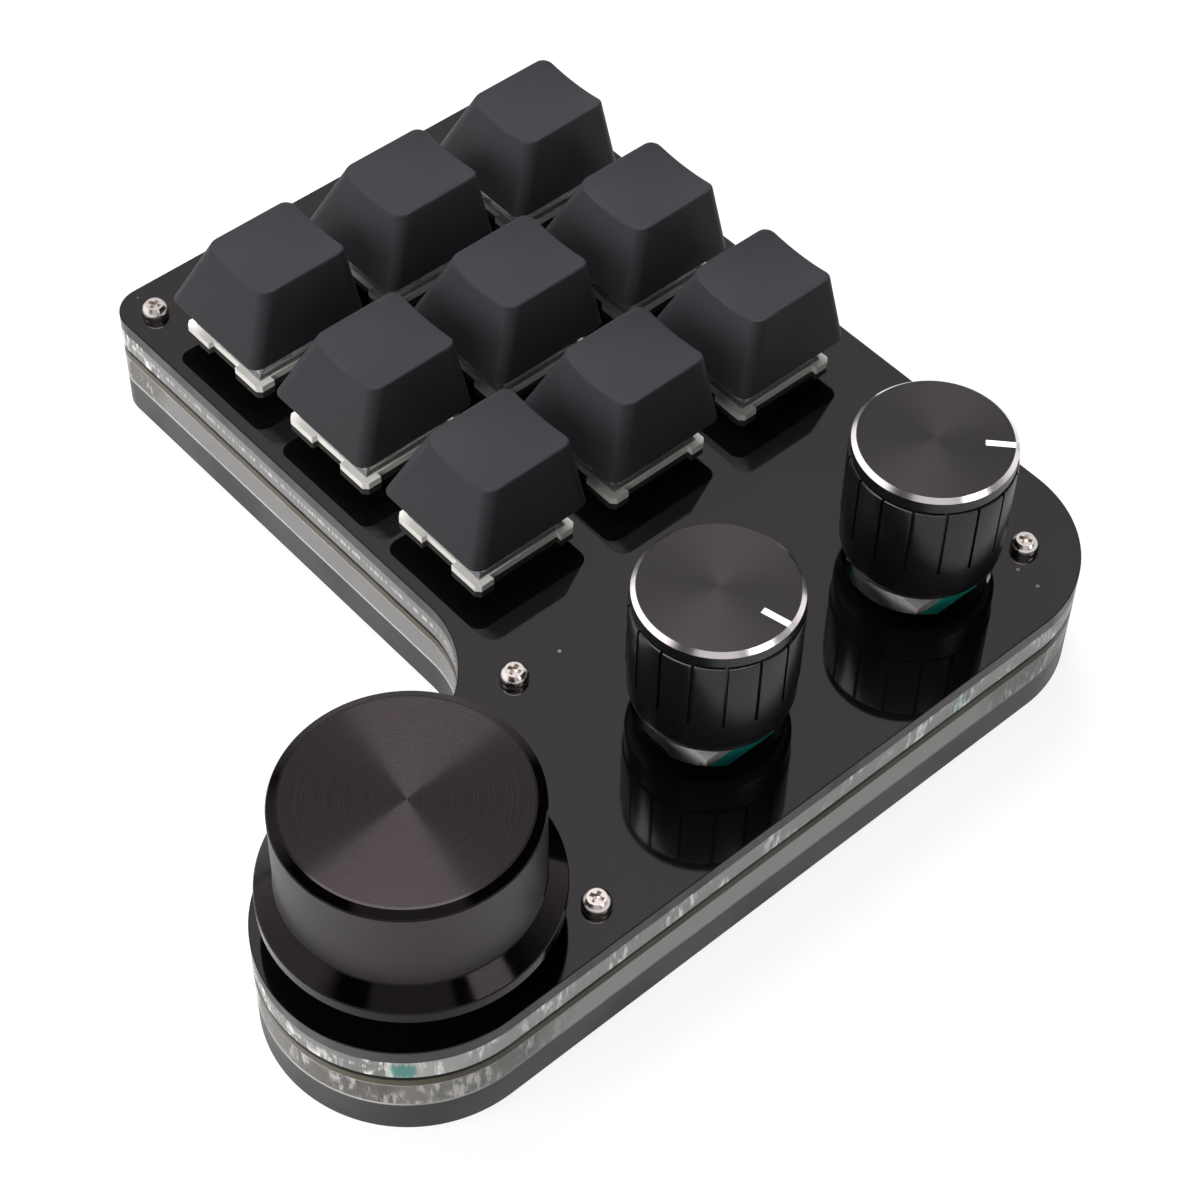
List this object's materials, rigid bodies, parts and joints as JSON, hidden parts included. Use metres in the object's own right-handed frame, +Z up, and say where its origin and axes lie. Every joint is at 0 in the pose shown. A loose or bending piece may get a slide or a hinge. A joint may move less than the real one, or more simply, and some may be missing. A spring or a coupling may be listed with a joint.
{
  "type": "macro keypad",
  "caption": "L-shaped desktop macro keypad: a block of dished keys, small grooved knobs and a large turned dial on a screwed stack of flat sheets.",
  "frame": {"origin": "on the desk under the centre of the object's bounding box, at the feet's undersides", "axes": "+X to the user's right, towards the knob column; +Y away from the user; +Z up"},
  "size_m": [0.116, 0.1172, 0.0384],
  "materials": {
    "top_sheet": "polished black sheet",
    "clear_sheet": "clear sheet with laser-cut edges",
    "board": "black solder mask over an olive core",
    "bottom_sheet": "satin dark grey sheet",
    "keycap": "fine matte charcoal",
    "switch_lower": "off-white moulded plastic",
    "switch_upper": "clear moulded plastic",
    "switch_stem": "red moulded plastic",
    "spring_wire": "bright wire",
    "contact_metal": "tinned contact metal",
    "encoder_plastic": "teal moulded plastic",
    "encoder_metal": "pressed tinned sheet",
    "shaft_metal": "turned metal",
    "plunger_plastic": "moulded plastic",
    "knob_plastic": "satin black moulded plastic",
    "knob_cap_metal": "dark spun disc with a bright cut rim",
    "pointer_white": "white insert",
    "dial_metal": "black anodised, spun top, satin wall, polished bevels",
    "screw_metal": "nickel-plated",
    "dark_steel": "black oxide",
    "foot_rubber": "soft black rubber",
    "socket_metal": "plated shell",
    "component_plastic": "black moulded packages"
  },
  "bodies": {
    "case": {"top_plate": "top_sheet", "upper_spacer": "clear_sheet", "circuit_board": "board", "lower_spacer": "clear_sheet", "bottom_plate": "bottom_sheet", "plate_screws": "screw_metal", "plate_nuts": "screw_metal", "rubber_feet": "foot_rubber", "switch_bases": "switch_lower", "switch_tops": "switch_upper", "contact_pins": "contact_metal", "cable_socket": "socket_metal", "board_components": "component_plastic", "switch_spring_1": "spring_wire", "switch_spring_2": "spring_wire", "switch_spring_3": "spring_wire", "switch_spring_4": "spring_wire", "switch_spring_5": "spring_wire", "switch_spring_6": "spring_wire", "switch_spring_7": "spring_wire", "switch_spring_8": "spring_wire", "switch_spring_9": "spring_wire", "encoder_base_1": "encoder_plastic", "encoder_bracket_1": "encoder_metal", "encoder_base_2": "encoder_plastic", "encoder_bracket_2": "encoder_metal", "encoder_base_3": "encoder_plastic", "encoder_bracket_3": "encoder_metal"},
    "key_1": {"keycap_1": "keycap", "switch_stem_1": "switch_stem"},
    "key_2": {"keycap_2": "keycap", "switch_stem_2": "switch_stem"},
    "key_3": {"keycap_3": "keycap", "switch_stem_3": "switch_stem"},
    "key_4": {"keycap_4": "keycap", "switch_stem_4": "switch_stem"},
    "key_5": {"keycap_5": "keycap", "switch_stem_5": "switch_stem"},
    "key_6": {"keycap_6": "keycap", "switch_stem_6": "switch_stem"},
    "key_7": {"keycap_7": "keycap", "switch_stem_7": "switch_stem"},
    "key_8": {"keycap_8": "keycap", "switch_stem_8": "switch_stem"},
    "key_9": {"keycap_9": "keycap", "switch_stem_9": "switch_stem"},
    "near_knob_plunger": {"encoder_plunger_1": "plunger_plastic"},
    "near_knob": {"encoder_shaft_1": "shaft_metal", "knob_body_1": "knob_plastic", "knob_cap_1": "knob_cap_metal", "knob_pointer_1": "pointer_white"},
    "far_knob_plunger": {"encoder_plunger_2": "plunger_plastic"},
    "far_knob": {"encoder_shaft_2": "shaft_metal", "knob_body_2": "knob_plastic", "knob_cap_2": "knob_cap_metal", "knob_pointer_2": "pointer_white"},
    "dial_plunger": {"encoder_plunger_3": "plunger_plastic"},
    "dial": {"encoder_shaft_3": "shaft_metal", "dial_knob": "dial_metal", "dial_set_screw": "dark_steel"}
  },
  "joints": [
    {"name": "key_press_1", "type": "slide", "parent": "case", "child": "key_1", "axis": [0, 0, -1], "range_m": [0, 0.004], "stiffness_N_per_m": 65, "springref_m": -0.005, "deforming": ["switch_spring_1"]},
    {"name": "key_press_2", "type": "slide", "parent": "case", "child": "key_2", "axis": [0, 0, -1], "range_m": [0, 0.004], "stiffness_N_per_m": 65, "springref_m": -0.005, "deforming": ["switch_spring_2"]},
    {"name": "key_press_3", "type": "slide", "parent": "case", "child": "key_3", "axis": [0, 0, -1], "range_m": [0, 0.004], "stiffness_N_per_m": 65, "springref_m": -0.005, "deforming": ["switch_spring_3"]},
    {"name": "key_press_4", "type": "slide", "parent": "case", "child": "key_4", "axis": [0, 0, -1], "range_m": [0, 0.004], "stiffness_N_per_m": 65, "springref_m": -0.005, "deforming": ["switch_spring_4"]},
    {"name": "key_press_5", "type": "slide", "parent": "case", "child": "key_5", "axis": [0, 0, -1], "range_m": [0, 0.004], "stiffness_N_per_m": 65, "springref_m": -0.005, "deforming": ["switch_spring_5"]},
    {"name": "key_press_6", "type": "slide", "parent": "case", "child": "key_6", "axis": [0, 0, -1], "range_m": [0, 0.004], "stiffness_N_per_m": 65, "springref_m": -0.005, "deforming": ["switch_spring_6"]},
    {"name": "key_press_7", "type": "slide", "parent": "case", "child": "key_7", "axis": [0, 0, -1], "range_m": [0, 0.004], "stiffness_N_per_m": 65, "springref_m": -0.005, "deforming": ["switch_spring_7"]},
    {"name": "key_press_8", "type": "slide", "parent": "case", "child": "key_8", "axis": [0, 0, -1], "range_m": [0, 0.004], "stiffness_N_per_m": 65, "springref_m": -0.005, "deforming": ["switch_spring_8"]},
    {"name": "key_press_9", "type": "slide", "parent": "case", "child": "key_9", "axis": [0, 0, -1], "range_m": [0, 0.004], "stiffness_N_per_m": 65, "springref_m": -0.005, "deforming": ["switch_spring_9"]},
    {"name": "near_knob_push", "type": "slide", "parent": "case", "child": "near_knob_plunger", "axis": [0, 0, -1], "range_m": [0, 0.0005], "stiffness_N_per_m": 4000, "springref_m": -0.0005},
    {"name": "near_knob_turn", "type": "hinge", "parent": "near_knob_plunger", "child": "near_knob", "pos_m": [0.04065, 0.00373, 0.0173], "axis": [0, 0, 1], "continuous": true},
    {"name": "far_knob_push", "type": "slide", "parent": "case", "child": "far_knob_plunger", "axis": [0, 0, -1], "range_m": [0, 0.0005], "stiffness_N_per_m": 4000, "springref_m": -0.0005},
    {"name": "far_knob_turn", "type": "hinge", "parent": "far_knob_plunger", "child": "far_knob", "pos_m": [0.04065, 0.03803, 0.0173], "axis": [0, 0, 1], "continuous": true},
    {"name": "dial_push", "type": "slide", "parent": "case", "child": "dial_plunger", "axis": [0, 0, -1], "range_m": [0, 0.0005], "stiffness_N_per_m": 4000, "springref_m": -0.0005},
    {"name": "dial_turn", "type": "hinge", "parent": "dial_plunger", "child": "dial", "pos_m": [0.04065, -0.04047, 0.0173], "axis": [0, 0, 1], "continuous": true}
  ]
}
